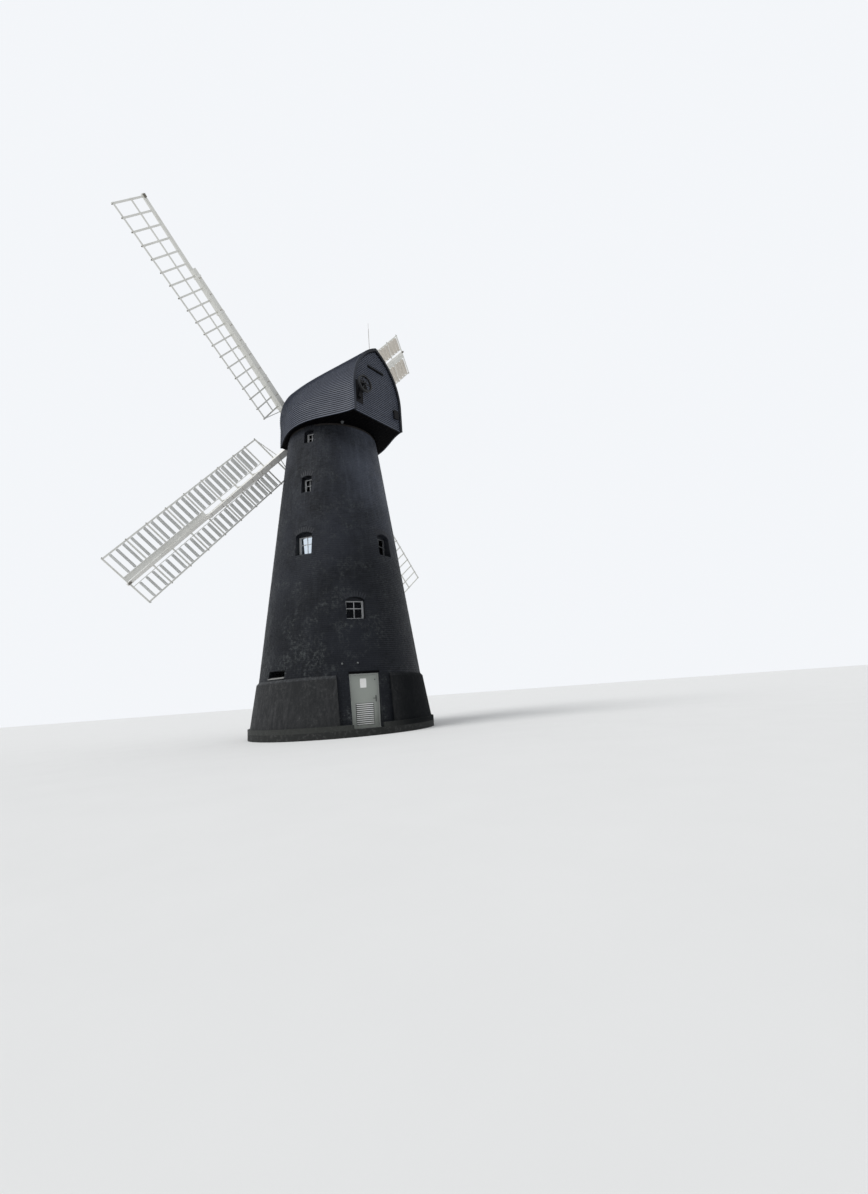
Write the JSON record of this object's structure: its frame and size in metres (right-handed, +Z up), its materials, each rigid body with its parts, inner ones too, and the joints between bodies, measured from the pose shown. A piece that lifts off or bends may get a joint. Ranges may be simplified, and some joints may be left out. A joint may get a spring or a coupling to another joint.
{
  "type": "traditional tower windmill",
  "caption": "Tarred brick tower windmill with a boat-shaped boarded cap, two common and two patent sails, a steel door and arched windows.",
  "frame": {"origin": "middle of the footing's underside, at the lowest ground level", "axes": "+Z up; the sails look towards -Y; +X is on the right of someone who looks at the sails' front"},
  "size_m": [17.322, 7.5497, 21.5736],
  "materials": {
    "tarred_brick": "tarred brick, faintly glossy",
    "concrete": "rough concrete",
    "tarred_timber": "black weatherboards",
    "bare_timber": "bare boards",
    "white_timber": "white paint, weathered",
    "white_frame": "white painted frames",
    "window_glass": "clear panes",
    "grey_steel": "grey painted steel",
    "dark_steel": "black painted steel",
    "iron": "painted cast iron",
    "copper": "dull metal rod"
  },
  "bodies": {
    "tower": {"footing": "concrete", "wall_over_door": "tarred_brick", "curb": "tarred_timber", "door_frame": "grey_steel", "window_frames": "white_frame", "window_glass": "window_glass", "vent_louvre": "dark_steel", "ground_storey_wall_even": "tarred_brick", "ground_storey_wall_odd": "tarred_brick", "first_storey_wall_even": "tarred_brick", "first_storey_wall_odd": "tarred_brick", "second_storey_wall_even": "tarred_brick", "second_storey_wall_odd": "tarred_brick", "third_storey_wall_even": "tarred_brick", "third_storey_wall_odd": "tarred_brick", "dust_storey_wall_even": "tarred_brick", "dust_storey_wall_odd": "tarred_brick", "first_floor": "bare_timber", "second_floor": "bare_timber", "third_floor": "bare_timber", "dust_floor": "bare_timber"},
    "cap": {"cap_left_side": "tarred_timber", "cap_right_side": "tarred_timber", "cap_rear_gable": "tarred_timber", "cap_front_wall": "tarred_timber", "cap_soffit": "tarred_timber", "cap_frame": "tarred_timber", "neck_bearing": "iron", "tail_bearing": "iron", "wheel_bracket": "iron", "gable_fittings": "iron", "lightning_rod": "copper"},
    "sails": {"windshaft": "iron", "poll_end": "iron", "common_stock": "white_timber", "patent_stock": "white_timber", "stock_clamps": "iron", "upper_common_whip": "white_timber", "upper_common_lattice": "white_timber", "upper_patent_whip": "white_timber", "upper_patent_leading_frame": "white_timber", "upper_patent_leading_shutters": "white_timber", "upper_patent_trailing_frame": "white_timber", "upper_patent_trailing_shutters": "white_timber", "lower_common_whip": "white_timber", "lower_common_lattice": "white_timber", "lower_patent_whip": "white_timber", "lower_patent_leading_frame": "white_timber", "lower_patent_leading_shutters": "white_timber", "lower_patent_trailing_frame": "white_timber", "lower_patent_trailing_shutters": "white_timber"},
    "door": {"door_leaf": "grey_steel", "door_handle": "grey_steel"},
    "wheel": {"chain_wheel": "iron"}
  },
  "joints": [
    {"name": "cap_turn", "type": "hinge", "parent": "tower", "child": "cap", "pos_m": [0, 0, 12.3], "axis": [0, 0, 1], "continuous": true},
    {"name": "sails_turn", "type": "hinge", "parent": "cap", "child": "sails", "pos_m": [0, -1.23286, 13.23631], "axis": [0, -0.9863, 0.165], "continuous": true},
    {"name": "door_swing", "type": "hinge", "parent": "tower", "child": "door", "pos_m": [1.81454, 2.52364, 0.25], "axis": [0, 0, -1], "range_deg": [0, 90]},
    {"name": "wheel_spin", "type": "hinge", "parent": "cap", "child": "wheel", "pos_m": [0.87, 3.05, 13.46], "axis": [0, 1, 0], "continuous": true}
  ]
}
